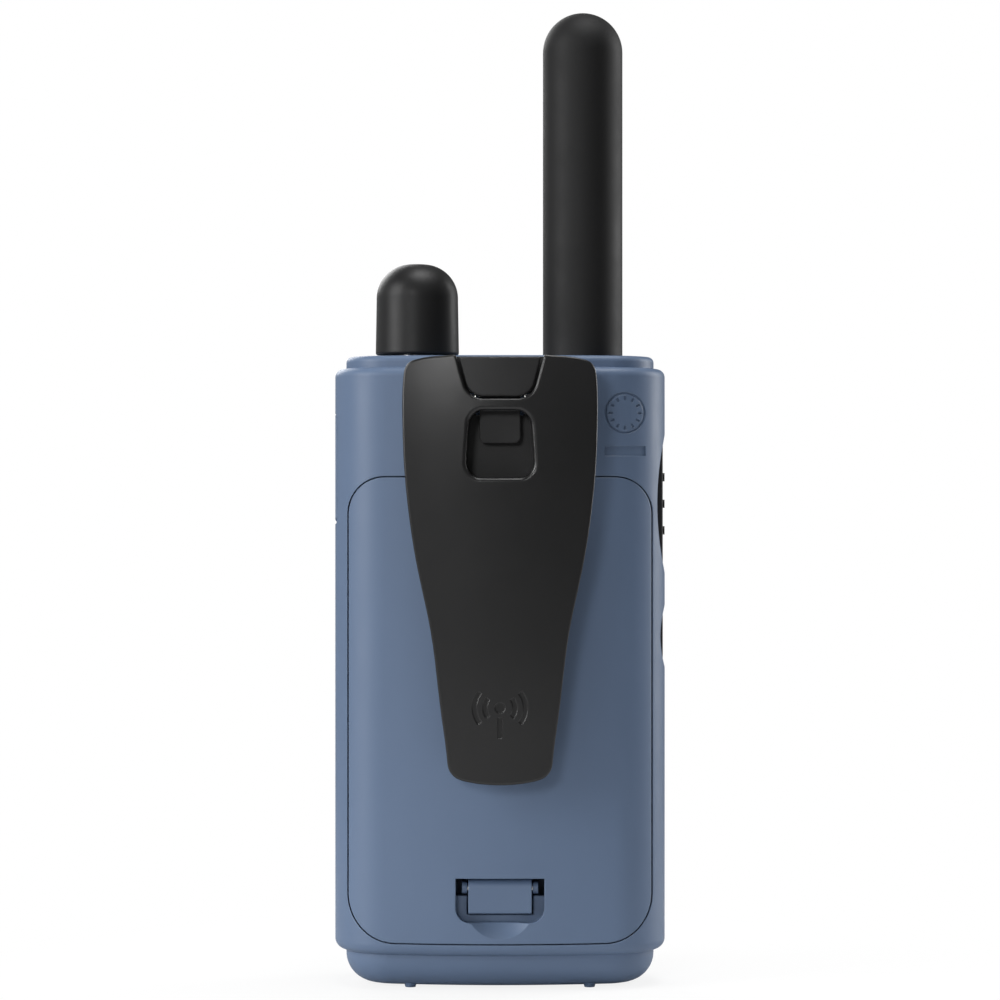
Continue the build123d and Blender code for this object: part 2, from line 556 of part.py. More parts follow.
def make_clip_carrier():
    """The shoe that slides down the dock rail and carries the clip's pin."""
    fit = SLIDE_FIT
    body = block(-CARRIER_X, CARRIER_X, BACK + 0.3, BACK + CARRIER_OUT, CARRIER_LOW, CARRIER_TOP)
    body = fillet([e for e in body.edges() | Axis.Z if e.center().Y > BACK + 2], 0.6)
    stem_slot = block(-STEM_X - fit, STEM_X + fit, 0, BACK + STEM_OUT, 0, DOCK_TOP + fit)
    head_slot = block(-HEAD_X - fit, HEAD_X + fit, BACK + STEM_OUT - fit, BACK + HEAD_OUT + fit,
                      0, DOCK_TOP + fit)
    lugs = both_sides(eye(6.8, 8.6, LUG_R, BACK + 0.8))
    coil_room = block(-6.65, 6.65, BACK + HEAD_OUT, FAR, 89.3, 92.5)
    lever_room = block(-LEVER_X - 0.5, LEVER_X + 0.5, BACK + HEAD_OUT, FAR, 89.1, 93.2)
    catch_room = block(-CATCH_X - 0.3, CATCH_X + 0.3, BACK + HEAD_OUT, FAR,
                       CATCH_Z - CATCH_H / 2 - 0.4, CATCH_Z + CATCH_H / 2 + 0.4)
    bores = rod(PIN_R + 0.02, "X", -12, 12, (PIVOT_Y, PIVOT_Z))
    return body - stem_slot - head_slot - coil_room - lever_room - catch_room + lugs - bores


def make_release_lever():
    """Finger pad in the clip's notch, hub on the clip's pin, and a tail that ends over the rail."""
    fit = LEVER_FIT
    hub = Pos(PIVOT_Y, PIVOT_Z) * Circle(LUG_R)
    y_pad = CLIP_OUT - 0.45
    arm = make_face(Polyline((PIVOT_Y - 1.2, PIVOT_Z + 0.6), (PIVOT_Y + 1.3, PIVOT_Z + 0.5),
                             (y_pad - 1.6, NOTCH_Z + 0.4), (y_pad - 1.6, NOTCH_Z + 2.6),
                             (PIVOT_Y + 1.0, NOTCH_Z + 1.2), close=True))
    tail_low = CATCH_Z - 1.3
    tail = make_face(Polyline((PIVOT_Y - 0.7, PIVOT_Z), (PIVOT_Y + 0.9, PIVOT_Z), (PIVOT_Y + 0.9, tail_low),
                              (PIVOT_Y - 0.7, tail_low), close=True))
    middle = along_x(hub + arm + tail, -LEVER_X, LEVER_X)
    middle = fillet([e for e in middle.edges() | Axis.Y if e.center().Z < tail_low + 0.1], 0.9)
    middle = middle + block(-CATCH_X, CATCH_X, BACK + HEAD_OUT + 0.25, PIVOT_Y,
                            CATCH_Z - CATCH_H / 2, CATCH_Z + CATCH_H / 2)
    pad = notch_sketch(fit, CLIP_TOP - 0.4)
    crown = Pos(0, y_pad - CLIP_CROWN_R, 0) * Cylinder(CLIP_CROWN_R, 300)
    plate = along_y(pad, y_pad - 1.7, FAR) & crown
    plate = fillet(outer_face(plate).edges(), 0.3)
    lever = middle + plate
    return lever - rod(PIN_R + RUN, "X", -12, 12, (PIVOT_Y, PIVOT_Z))


def coil_path(radius, pitch, turns):
    return Helix(pitch, pitch * turns, radius)


def coil(radius, wire, pitch, turns):
    """A wire coil along Z, starting at the origin's plane."""
    path = coil_path(radius, pitch, turns)
    return sweep(Plane(path @ 0, z_dir=path % 0) * Circle(wire), path, is_frenet=True)


def make_clip_springs():
    """Two torsion springs on the clip's pin, either side of the lever's hub."""
    one = Pos(3.6, PIVOT_Y, PIVOT_Z) * Rot(0, 90, 0) * coil(PIN_R + 0.42, 0.2, 0.52, 5)
    return one, mirror(one, about=Plane.YZ)


# ---- Antenna and knob ----
def make_antenna_sleeve():
    outer = rod(ANTENNA_R, "Z", CAP_TOP - CAP_WALL + 0.1, ANTENNA_TOP - ANTENNA_R, (-POST_X, 0))
    outer = outer + Pos(-POST_X, 0, ANTENNA_TOP - ANTENNA_R) * Sphere(ANTENNA_R)
    return outer - rod(3.6, "Z", 0, ANTENNA_TOP - 7, (-POST_X, 0))


def make_antenna_core():
    top = ANTENNA_TOP - 8
    core = rod(2.2, "Z", CAP_TOP, top, (-POST_X, 0))
    return core + rod(3.4, "Z", CAP_TOP - 0.4, CAP_TOP + 2.4, (-POST_X, 0))


def make_antenna_coil():
    return Pos(-POST_X, 0, CAP_TOP + 3.4) * coil(2.75, 0.3, 2.6, 15)


def make_antenna_base():
    base = rod(ANTENNA_R + 0.9, "Z", CAP_TOP - CAP_WALL - 3.2, CAP_TOP - CAP_WALL - 0.1, (-POST_X, 0))
    base = base + rod(3.0, "Z", CAP_TOP - CAP_WALL - 0.2, CAP_TOP - 0.5, (-POST_X, 0))
    return base


def make_antenna_contact():
    top = CAP_TOP - CAP_WALL - 3.25
    return block(-POST_X - 1, -POST_X + 1, BOARD_Y + BOARD_T, BOARD_Y + BOARD_T + 0.4, 86, top) + block(
        -POST_X - 1, -POST_X + 1, BOARD_Y + BOARD_T, 2, top - 0.4, top)


def make_knob():
    z0, dome = CAP_TOP + KNOB_LIFT, 5.6
    side = make_face(Polyline((0, z0), (KNOB_R, z0), (KNOB_R - KNOB_DRAFT, KNOB_TOP - dome),
                              (KNOB_R - KNOB_DRAFT, KNOB_TOP), (0, KNOB_TOP), close=True))
    corner = [v for v in side.vertices() if v.X > 1 and v.Y > KNOB_TOP - 0.01]
    profile = fillet(corner, dome - 0.2)
    knob = revolve(Plane.XZ * profile, Axis.Z)
    knob = fillet([e for e in knob.edges() if abs(e.center().Z - z0) < 0.01], 0.4)
    knob = Pos(POST_X, 0, 0) * knob
    groove = block(POST_X - 0.5, POST_X + 0.5, -FAR, -KNOB_R + 0.75, CAP_TOP + 6, CAP_TOP + 11.5)
    return knob - rod(SHAFT_R + 0.02, "Z", 0, CAP_TOP + 9, (POST_X, 0)) - groove


def make_knob_index():
    mark = block(POST_X - 0.45, POST_X + 0.45, -KNOB_R + 0.25, -KNOB_R + 0.7, CAP_TOP + 6.05, CAP_TOP + 11.45)
    return mark


def make_encoder():
    body = block(POST_X - 6, POST_X + 6, BOARD_Y + BOARD_T + 0.05, 6, 89.4, CAP_TOP - CAP_WALL - 0.2)
    bush = rod(SHAFT_R + 1.1, "Z", 96, CAP_TOP + 0.1, (POST_X, 0))
    return body + bush - rod(SHAFT_R + RUN, "Z", 92, FAR + 10, (POST_X, 0))


def make_encoder_shaft():
    return rod(SHAFT_R, "Z", 92.3, CAP_TOP + 8.8, (POST_X, 0))


# ---- Side buttons ----
def make_side_button(sketch, z, travel, ribs):
    cap = skin(BUTTON_SINK, WALL + 0.6) & along_x(sketch(-BUTTON_FIT), -FAR, -15)
    inset = WALL + FLANGE_GAP
    flange = skin(inset, inset + FLANGE_T) & along_x(sketch(FLANGE_GROW), -FAR, -15)
    stem = rod(1.6, "X", -BODY_W / 2 + WALL + 0.5, -SWITCH_FACE - travel - 0.1, (0, z))
    raised = Part()
    for rib_z in ribs:
        bar = Pos(0, rib_z) * RectangleRounded(TALK_W - 2.6, 1.3, 0.6)
        raised = raised + (skin(0.02, BUTTON_SINK + 0.2) & along_x(bar, -FAR, -15))
    return cap + flange + stem + raised


def make_side_board():
    return block(-SIDE_BOARD_X, -SIDE_BOARD_X + SIDE_BOARD_T, BOARD_Y + BOARD_T + 0.3, 4.2, 47, 88)


def make_switch(z):
    face = -SIDE_BOARD_X - SWITCH_T
    body = block(face, -SIDE_BOARD_X, -2.0, 2.0, z - 2, z + 2)
    return body + rod(0.9, "X", -SWITCH_FACE, face + 0.1, (0, z))


# ---- Ports ----
def make_port_cover():
    """A rubber flap that turns on the bead along its lower edge."""
    bead_z = PORT_Z - PORT_H / 2 + BEAD_R
    flap = skin(0, PORT_T) & along_x(port_sketch(), 15, FAR)
    flap = flap & block(0, FAR, -FAR, FAR, bead_z, FAR)
    bead = rod(BEAD_R, "Y", -3.4, 3.4, (BODY_W / 2 - BEAD_R - 0.05, bead_z))
    nail = block(0, FAR, -1.6, 1.6, PORT_Z + PORT_H / 2 - 1.2, FAR) - slab(0.5)
    return flap + bead - nail


def make_headset_jack():
    barrel = rod(JACK_R, "X", 20, BODY_W / 2 - PORT_T - 0.35, (0, JACK_Z))
    body = block(12.2, 20.4, -1.85, 3.0, JACK_Z - 2.9, JACK_Z + 2.9)
    return barrel + body - rod(JACK_BORE, "X", 13.2, FAR, (0, JACK_Z))


def make_usb_socket():
    x1 = BODY_W / 2 - PORT_T - 0.35
    shell = along_x(Pos(0, USB_Z) * RectangleRounded(USB_W, USB_H, 1.1), 18.8, x1)
    room = along_x(Pos(0, USB_Z) * RectangleRounded(USB_W - 0.6, USB_H - 0.6, 0.85), 19.4, FAR)
    tongue = block(19.0, x1 - 0.6, -0.35, 0.35, USB_Z - 3.1, USB_Z + 3.1)
    return shell - room + tongue


def make_port_board():
    board = block(12.0, 23.4, -2.9, -1.9, 72.8, 88.4) & slab(WALL + 1.0)
    board = board - block(19.8, FAR, -FAR, FAR, JACK_Z - JACK_R - 0.3, FAR)
    return board - rod(BOSS_R + 0.3, "Y", -FAR, FAR, (SCREW_X, SCREW_ZS[1]))


# ---- Behind the front ----
def make_display_window():
    pane = rounded(-WINDOW_X + 0.1, WINDOW_X - 0.1, WINDOW_LOW + 0.1, WINDOW_TOP - 0.1, WINDOW_R - 0.1)
    return skin(-FASCIA_PROUD + 0.05, WINDOW_T - FASCIA_PROUD - 0.02) & along_y(pane, -FAR, -5)


def make_led_lens():
    return rod(0.75, "Y", -FAR, BOARD_Y - 1.6, (0, 89.9)) & slab(-FASCIA_PROUD)


def make_status_led():
    return block(-0.8, 0.8, BOARD_Y - 1.2, BOARD_Y, 89.1, 90.7)


def make_lcd():
    return block(-13.0, 13.0, LCD_Y, LCD_Y + LCD_T, 70.4, 88.6)


def make_backlight():
    tray = block(-13.0, 13.0, LCD_Y + LCD_T + 0.1, BOARD_Y - 0.1, 70.0, 88.8)
    return tray


def make_keypad_mat():
    return along_y(rounded(-17.2, 17.2, 44.8, 69.6, 3), MAT_Y, BOARD_Y - 0.02)


def make_main_board():
    board = along_y(rounded(-BOARD_X, BOARD_X, 16.2, 93.0, 2.0), BOARD_Y, BOARD_Y + BOARD_T)
    for x in (-SCREW_X, SCREW_X):
        board = board - rod(BOSS_R + 0.3, "Y", -FAR, FAR, (x, SCREW_ZS[1]))
    return board


def make_rf_shield():
    can = block(-9.5, 9.5, BOARD_Y + BOARD_T, BOARD_Y + BOARD_T + 2.4, 73.5, 89.0)
    can = can - block(-9.3, 9.3, -FAR, BOARD_Y + BOARD_T + 2.2, 73.7, 88.8)
    return can


def make_board_chips():
    back = BOARD_Y + BOARD_T
    chips = [(-6, 60, 7, 7, 1.0), (7, 58, 5, 5, 0.9), (-9, 42, 4, 5, 1.5), (8, 40, 6, 4, 1.2),
             (0, 27, 9, 6, 1.4)]
    return [block(x - w / 2, x + w / 2, back, back + t, z - h / 2, z + h / 2) for x, z, w, h, t in chips]


def make_speaker():
    """Frame, cone and magnet, front to back."""
    y0 = -BACK + WALL + 1.2
    y1 = BOARD_Y - 0.35
    ring = rod(SPEAKER_R, "Y", y0, y0 + 1.2, (0, SPEAKER_Z))
    ring = ring - rod(SPEAKER_R - 1.4, "Y", -FAR, y0 + 0.7, (0, SPEAKER_Z))
    basket = rod(9.5, "Y", y0 + 0.6, y1 - 0.8, (0, SPEAKER_Z))
    frame = ring + basket - rod(8.7, "Y", -FAR, y1 - 1.4, (0, SPEAKER_Z))
    frame = frame - rod(6.3, "Y", -FAR, FAR, (0, SPEAKER_Z))
    magnet = rod(6.2, "Y", y1 - 1.9, y1, (0, SPEAKER_Z))
    edge = Circle(SPEAKER_R - 1.5)
    cone = loft([Plane.XZ.offset(-y0 - 0.2) * Pos(0, SPEAKER_Z) * edge,
                 Plane.XZ.offset(-y0 - 0.6) * Pos(0, SPEAKER_Z) * Circle(8.2)])
    return frame, cone, magnet


def make_speaker_cloth():
    return skin(FASCIA_T + 0.12, FASCIA_T + 0.42) & rod(SPEAKER_R - 1.65, "Y", -FAR, -5, (0, SPEAKER_Z))


def make_microphone():
    y0 = -BACK + WALL + 1.45
    capsule = rod(2.0, "Y", y0, y0 + 1.6, (12.4, 50.6))
    boot = rod(2.7, "Y", y0 - 0.1, y0 + 1.7, (12.4, 50.6)) - rod(2.03, "Y", y0 - 0.02, FAR, (12.4, 50.6))
    return capsule, boot - rod(0.7, "Y", -FAR, y0 + 0.1, (12.4, 50.6))


# ---- Batteries, screws, latch pin ----
def cell_places():
    """Axis and pole direction of each cell; neighbours lie opposite ways."""
    pitch = CELL_D + CELL_GAP
    middle = (CELL_COUNT - 1) / 2
    return [((i - middle) * pitch, 1 if i % 2 == 0 else -1) for i in range(CELL_COUNT)]


CELL_LOW = BAY_BOTTOM + (BAY_LEN - CELL_LEN) / 2 + 0.2


def make_cell(x, up):
    low, high = CELL_LOW, CELL_LOW + CELL_LEN
    if up > 0:
        body = rod(CELL_D / 2, "Z", low, high - 0.9, (x, CELL_Y))
        return body + rod(1.9, "Z", high - 1, high, (x, CELL_Y))
    body = rod(CELL_D / 2, "Z", low + 0.9, high, (x, CELL_Y))
    return body + rod(1.9, "Z", low, low + 1, (x, CELL_Y))


def make_battery_springs():
    springs = []
    for x, up in cell_places():
        room = CELL_LOW - BAY_BOTTOM - 0.35
        if up > 0:
            wire = Pos(x, CELL_Y, BAY_BOTTOM + 0.45) * coil(2.6, 0.25, (room - 0.6) / 3, 3)
            plate = block(x - 4, x + 4, CELL_Y - 4, CELL_Y + 3.5, BAY_BOTTOM + 0.02, BAY_BOTTOM + 0.3)
        else:
            room = BAY_TOP - CELL_LOW - CELL_LEN - 0.35
            wire = Pos(x, CELL_Y, CELL_LOW + CELL_LEN + 0.45) * coil(2.6, 0.25, (room - 0.6) / 3, 3)
            plate = block(x - 4, x + 4, CELL_Y - 4, CELL_Y + 3.5, BAY_TOP - 0.3, BAY_TOP - 0.02)
        springs += [wire + plate]
    return springs


def make_battery_plates():
    plates = []
    for x, up in cell_places():
        face = BAY_TOP - 0.02 if up > 0 else BAY_BOTTOM + 0.02
        tip = CELL_LOW + CELL_LEN + 0.05 if up > 0 else CELL_LOW - 0.05
        low, high = sorted((face, face - 0.3 * up))
        plate = block(x - 4, x + 4, CELL_Y - 4, CELL_Y + 3.5, low, high)
        low, high = sorted((face - 0.1 * up, tip))
        plates += [plate + rod(1.6, "Z", low, high, (x, CELL_Y))]
    return plates


def make_door_foam():
    reach = CELL_Y + CELL_D / 2 + 0.15
    return block(-14, 14, reach, FAR, 42, 50) & slab(DOOR_T + 0.02)


def make_housing_screws():
    screws = []
    for x in (-SCREW_X, SCREW_X):
        for z in SCREW_ZS:
            head = rod(HEAD_R, "Y", SCREW_HEAD_Y + 0.02, SCREW_HEAD_Y + HEAD_H, (x, z))
            cross = block(x - 1.2, x + 1.2, SCREW_HEAD_Y + 0.6, FAR, z - 0.25, z + 0.25)
            cross = cross + block(x - 0.25, x + 0.25, SCREW_HEAD_Y + 0.6, FAR, z - 1.2, z + 1.2)
            screws += [head + rod(SCREW_R, "Y", -8.2, SCREW_HEAD_Y + 0.2, (x, z)) - cross]
    return screws


def make_latch_pin():
    return rod(LATCH_PIN_R - 0.02, "X", -LATCH_X - 0.95, LATCH_X + 0.95, (LATCH_Y, LATCH_Z))


def main():
    envelope, cavity = housing_envelope(), housing_cavity()
    write("rear_housing", make_rear_housing(envelope, cavity))
    write("front_housing", make_front_housing(envelope, cavity))
    write("front_fascia", make_fascia())
    write("display_window", make_display_window())
    write("led_lens", make_led_lens())
    for name in KEYS:
        write(name, make_key(name))
    write("battery_door", make_battery_door())
    write("door_foam", make_door_foam())
    write("door_latch", make_door_latch())
    write("latch_pin", make_latch_pin())
    write("housing_screws", *make_housing_screws())
    write("belt_clip", make_belt_clip())
    write("clip_carrier", make_clip_carrier())
    write("clip_hinge_pin", rod(PIN_R, "X", -10.8, 10.8, (PIVOT_Y, PIVOT_Z)))
    write("clip_springs", *make_clip_springs())
    write("clip_release_lever", make_release_lever())
    write("antenna_sleeve", make_antenna_sleeve())
    write("antenna_core", make_antenna_core())
    write("antenna_coil", make_antenna_coil())
    write("antenna_base", make_antenna_base())
    write("antenna_contact", make_antenna_contact())
    write("volume_knob", make_knob())
    write("knob_index", make_knob_index())
    write("volume_encoder", make_encoder())
    write("encoder_shaft", make_encoder_shaft())
    write("talk_button", make_side_button(talk_sketch, TALK_Z, TALK_TRAVEL, (71.3, 75.5, 79.7)))
    write("side_button", make_side_button(side_sketch, SIDE_Z, SIDE_TRAVEL, ()))
    write("side_board", make_side_board())
    write("talk_switch", make_switch(TALK_Z))
    write("side_switch", make_switch(SIDE_Z))
    write("port_cover", make_port_cover())
    write("headset_jack", make_headset_jack())
    write("usb_socket", make_usb_socket())
    write("port_board", make_port_board())
    write("lcd_panel", make_lcd())
    write("lcd_backlight", make_backlight())
    write("status_led", make_status_led())
    write("keypad_mat", make_keypad_mat())
    write("main_board", make_main_board())
    write("rf_shield", make_rf_shield())
    write("board_chips", *make_board_chips())
    frame, cone, magnet = make_speaker()
    write("speaker_frame", frame)
    write("speaker_cone", cone)
    write("speaker_magnet", magnet)
    write("speaker_cloth", make_speaker_cloth())
    capsule, boot = make_microphone()
    write("microphone", capsule)
    write("microphone_boot", boot)
    for i, (x, up) in enumerate(cell_places()):
        write(f"cell_{i + 1}", make_cell(x, up))
    write("battery_springs", *make_battery_springs())
    write("battery_plates", *make_battery_plates())


main()
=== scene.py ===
import bpy
import json
import math
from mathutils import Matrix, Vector


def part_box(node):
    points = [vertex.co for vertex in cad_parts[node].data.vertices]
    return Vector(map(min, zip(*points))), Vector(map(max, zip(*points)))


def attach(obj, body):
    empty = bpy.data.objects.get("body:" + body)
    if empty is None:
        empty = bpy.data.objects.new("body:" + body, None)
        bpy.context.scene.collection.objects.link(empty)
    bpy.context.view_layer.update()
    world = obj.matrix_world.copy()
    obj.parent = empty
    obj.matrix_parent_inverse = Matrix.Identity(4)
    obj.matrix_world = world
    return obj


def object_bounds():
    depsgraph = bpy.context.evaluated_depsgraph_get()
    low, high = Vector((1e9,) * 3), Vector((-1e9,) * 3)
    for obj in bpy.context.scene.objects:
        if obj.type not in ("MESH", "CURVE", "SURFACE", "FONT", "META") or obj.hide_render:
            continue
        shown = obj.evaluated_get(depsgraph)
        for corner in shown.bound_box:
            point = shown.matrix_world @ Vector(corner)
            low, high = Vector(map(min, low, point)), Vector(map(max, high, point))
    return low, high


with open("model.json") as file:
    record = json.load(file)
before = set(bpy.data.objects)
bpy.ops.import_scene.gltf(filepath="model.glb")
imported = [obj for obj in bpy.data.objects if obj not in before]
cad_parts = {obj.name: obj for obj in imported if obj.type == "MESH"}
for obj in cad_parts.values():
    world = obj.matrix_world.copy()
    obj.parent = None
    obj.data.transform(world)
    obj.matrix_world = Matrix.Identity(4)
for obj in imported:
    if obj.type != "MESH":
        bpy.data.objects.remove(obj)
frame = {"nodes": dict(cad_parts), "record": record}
cad_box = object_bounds()

MM = 0.001
low, high = cad_box
CENTRE_X = (low[0] + high[0]) / 2
MID_Y = (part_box("antenna_sleeve")[0].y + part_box("antenna_sleeve")[1].y) / 2

# ---- Camera: level with the radio's middle, square on to the back ----
CAMERA_DISTANCE = 0.520
CAMERA_HEIGHT = 0.0761
LENS = 118.1
SENSOR = 36.0

camera_data = bpy.data.cameras.new("camera")
camera_data.lens = LENS
camera_data.sensor_width = SENSOR
camera_data.clip_start = 0.01
camera_data.clip_end = 50.0
camera = bpy.data.objects.new("camera", camera_data)
camera.location = (CENTRE_X, MID_Y + CAMERA_DISTANCE, CAMERA_HEIGHT)
camera.rotation_euler = (math.radians(90), 0, math.radians(180))
bpy.context.collection.objects.link(camera)
bpy.context.scene.camera = camera


# ---- Nodes ----
class Finish:
    """A procedural material that is built up one node at a time."""

    def __init__(self, name):
        self.material = bpy.data.materials.new(name)
        self.material.use_nodes = True
        self.nodes = self.material.node_tree.nodes
        self.links = self.material.node_tree.links
        self.shader = self.nodes["Principled BSDF"]
        self.place = self.add("ShaderNodeTexCoord").outputs["Object"]

    def add(self, kind, **values):
        node = self.nodes.new(kind)
        for key, value in values.items():
            setattr(node, key, value)
        return node

    def noise(self, scale, detail=2.0, roughness=0.5, stretch=None):
        node = self.add("ShaderNodeTexNoise")
        node.inputs["Scale"].default_value = scale
        node.inputs["Detail"].default_value = detail
        node.inputs["Roughness"].default_value = roughness
        source = self.place
        if stretch:
            mapping = self.add("ShaderNodeMapping")
            mapping.inputs["Scale"].default_value = stretch
            self.links.new(source, mapping.inputs["Vector"])
            source = mapping.outputs["Vector"]
        self.links.new(source, node.inputs["Vector"])
        return node.outputs["Fac"]

    def spread(self, value, from_low, from_high, to_low, to_high):
        node = self.add("ShaderNodeMapRange")
        for key, number in zip(("From Min", "From Max", "To Min", "To Max"),
                               (from_low, from_high, to_low, to_high)):
            node.inputs[key].default_value = number
        self.links.new(value, node.inputs["Value"])
        return node.outputs["Result"]

    def math(self, operation, first, second):
        node = self.add("ShaderNodeMath", operation=operation)
        for socket, value in zip(node.inputs, (first, second)):
            if isinstance(value, (int, float)):
                socket.default_value = value
            else:
                self.links.new(value, socket)
        return node.outputs["Value"]

    def mix(self, factor, first, second):
        node = self.add("ShaderNodeMix", data_type="RGBA")
        if isinstance(factor, (int, float)):
            node.inputs["Factor"].default_value = factor
        else:
            self.links.new(factor, node.inputs["Factor"])
        for socket, value in ((node.inputs[6], first), (node.inputs[7], second)):
            if isinstance(value, tuple):
                socket.default_value = (*value, 1.0)
            else:
                self.links.new(value, socket)
        return node.outputs[2]

    def edge(self, radius, sharp=0.02):
        """1 on a rounded edge, where edge wear and a painted edge highlight go, 0 on the flat."""
        bevel = self.add("ShaderNodeBevel", samples=6)
        bevel.inputs["Radius"].default_value = radius
        geometry = self.add("ShaderNodeNewGeometry")
        dot = self.add("ShaderNodeVectorMath", operation="DOT_PRODUCT")
        self.links.new(bevel.outputs["Normal"], dot.inputs[0])
        self.links.new(geometry.outputs["Normal"], dot.inputs[1])
        return self.spread(dot.outputs["Value"], 1.0 - sharp, 0.80, 0.0, 1.0), bevel.outputs["Normal"]

    def bump(self, height, strength, distance, normal=None):
        node = self.add("ShaderNodeBump")
        node.inputs["Strength"].default_value = strength
        node.inputs["Distance"].default_value = distance
        self.links.new(height, node.inputs["Height"])
        if normal is not None:
            self.links.new(normal, node.inputs["Normal"])
        self.links.new(node.outputs["Normal"], self.shader.inputs["Normal"])

    def set(self, **values):
        """Sets plain numbers on the shader's own sockets."""
        names = {"metallic": "Metallic", "ior": "IOR", "specular": "Specular IOR Level",
                 "transmission": "Transmission Weight"}
        for key, value in values.items():
            self.shader.inputs[names[key]].default_value = value

    def soften(self, value, middle, swing):
        """A noise turned into a roughness that swings about its middle."""
        return self.spread(value, 0.3, 0.7, middle - swing, middle + swing)


def linear(value):
    """Linear light from a 0 to 255 screen value."""
    share = value / 255
    return share / 12.92 if value <= 10 else ((share + 0.055) / 1.055) ** 2.4


def srgb(red, green, blue):
    return linear(red), linear(green), linear(blue)


def scaled(colour, factor):
    return tuple(v * factor for v in colour)


FLOW_SCALE = 55
SMUDGE_SCALE = 140
# How far an edge goes towards its lighter colour: part wear, part painted edge highlight.
WEAR_AND_HIGHLIGHT_SHARE = 0.5
WORN_SMOOTHER = 0.08


def moulded(name, colour, roughness, grain=0.16 * MM, depth=0.010 * MM, vary=0.05, round_off=0.25 * MM,
            wear=1.35, specular=0.45, smear=0.045):
    """Spark-eroded moulded plastic: fine even grain, faint flow marks, edges lighter from handling wear and
    from a painted edge highlight.
    """
    finish = Finish(name)
    edge, normal = finish.edge(round_off)
    flow = finish.noise(FLOW_SCALE, 3, 0.55, (1.0, 1.0, 0.35))
    tone = finish.spread(flow, 0.3, 0.7, 0.0, 1.0)
    body = finish.mix(tone, scaled(colour, 1 - vary), scaled(colour, 1 + vary))
    # Edges are mixed towards the colour times wear: partly handling wear, partly a painted highlight on the
    # rounded edges.
    colour_out = finish.mix(finish.math("MULTIPLY", edge, WEAR_AND_HIGHLIGHT_SHARE), body, scaled(colour, wear))
    finish.links.new(colour_out, finish.shader.inputs["Base Color"])
    rough = finish.soften(finish.noise(SMUDGE_SCALE, 4, 0.6), roughness, smear)
    rough = finish.math("SUBTRACT", rough, finish.math("MULTIPLY", edge, WORN_SMOOTHER))
    finish.links.new(rough, finish.shader.inputs["Roughness"])
    finish.bump(finish.noise(1 / grain, 2, 0.6), 0.5, depth, normal)
    finish.set(specular=specular)
    return finish.material


def metal(name, colour, roughness, stretch=(1, 1, 18), metallic=1.0, line=0.12 * MM):
    """Drawn or turned metal with fine lines and a little tarnish."""
    finish = Finish(name)
    edge, normal = finish.edge(0.08 * MM)
    lines = finish.noise(1 / line, 2, 0.5, stretch)
    tarnish = finish.noise(400, 4, 0.6)
    tone = finish.spread(tarnish, 0.35, 0.7, 0.0, 1.0)
    finish.links.new(finish.mix(tone, colour, scaled(colour, 0.82)), finish.shader.inputs["Base Color"])
    finish.links.new(finish.soften(lines, roughness, 0.07), finish.shader.inputs["Roughness"])
    finish.bump(lines, 0.25, 0.006 * MM, normal)
    finish.set(metallic=metallic)
    return finish.material


def clear_pane():
    """Clear acrylic with a few faint smears."""
    finish = Finish("clear_pane")
    smear = finish.noise(220, 4, 0.6)
    finish.links.new(finish.spread(smear, 0.35, 0.75, 0.03, 0.10), finish.shader.inputs["Roughness"])
    tint = finish.mix(smear, (0.93, 0.95, 0.95), (0.97, 0.98, 0.98))
    finish.links.new(tint, finish.shader.inputs["Base Color"])
    finish.set(transmission=1.0, ior=1.49)
    return finish.material


def board_mask():
    """Green solder mask with tracks under it."""
    finish = Finish("board_mask")
    tracks = finish.add("ShaderNodeTexBrick")
    tracks.offset = 0.5
    finish.links.new(finish.place, tracks.inputs["Vector"])
    for key, value in (("Scale", 260.0), ("Mortar Size", 0.035), ("Brick Width", 0.9), ("Row Height", 0.45)):
        tracks.inputs[key].default_value = value
    tracks.inputs["Color1"].default_value = (*srgb(20, 74, 46), 1)
    tracks.inputs["Color2"].default_value = (*srgb(17, 62, 40), 1)
    tracks.inputs["Mortar"].default_value = (*srgb(38, 104, 66), 1)
    finish.links.new(tracks.outputs["Color"], finish.shader.inputs["Base Color"])
    finish.links.new(finish.spread(finish.noise(500), 0.3, 0.7, 0.25, 0.4), finish.shader.inputs["Roughness"])
    finish.bump(tracks.outputs["Fac"], 0.4, 0.02 * MM)
    return finish.material


def cell_jacket():
    """Printed foil jacket in two plain bands, with bare steel ends."""
    finish = Finish("cell_jacket")
    box_low, box_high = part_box("cell_1")
    height = finish.add("ShaderNodeSeparateXYZ")
    finish.links.new(finish.place, height.inputs["Vector"])
    share = finish.spread(height.outputs["Z"], box_low.z, box_high.z, 0.0, 1.0)
    bands = finish.add("ShaderNodeValToRGB")
    bands.color_ramp.interpolation = "CONSTANT"
    stops = bands.color_ramp.elements
    stops[0].position, stops[0].color = 0.0, (*srgb(168, 168, 166), 1)
    stops[1].position, stops[1].color = 0.03, (*srgb(38, 42, 50), 1)
    for position, colour in ((0.70, srgb(176, 120, 70)), (0.955, srgb(168, 168, 166))):
        stop = stops.new(position)
        stop.color = (*colour, 1)
    finish.links.new(share, bands.inputs["Fac"])
    wear = finish.mix(finish.spread(finish.noise(900, 4), 0.55, 0.8, 0.0, 0.4), bands.outputs["Color"],
                      srgb(150, 150, 150))
    finish.links.new(wear, finish.shader.inputs["Base Color"])
    finish.links.new(finish.soften(finish.noise(300, 3), 0.29, 0.07), finish.shader.inputs["Roughness"])
    finish.bump(finish.noise(2500, 2), 0.2, 0.01 * MM)
    finish.set(metallic=0.75)
    return finish.material


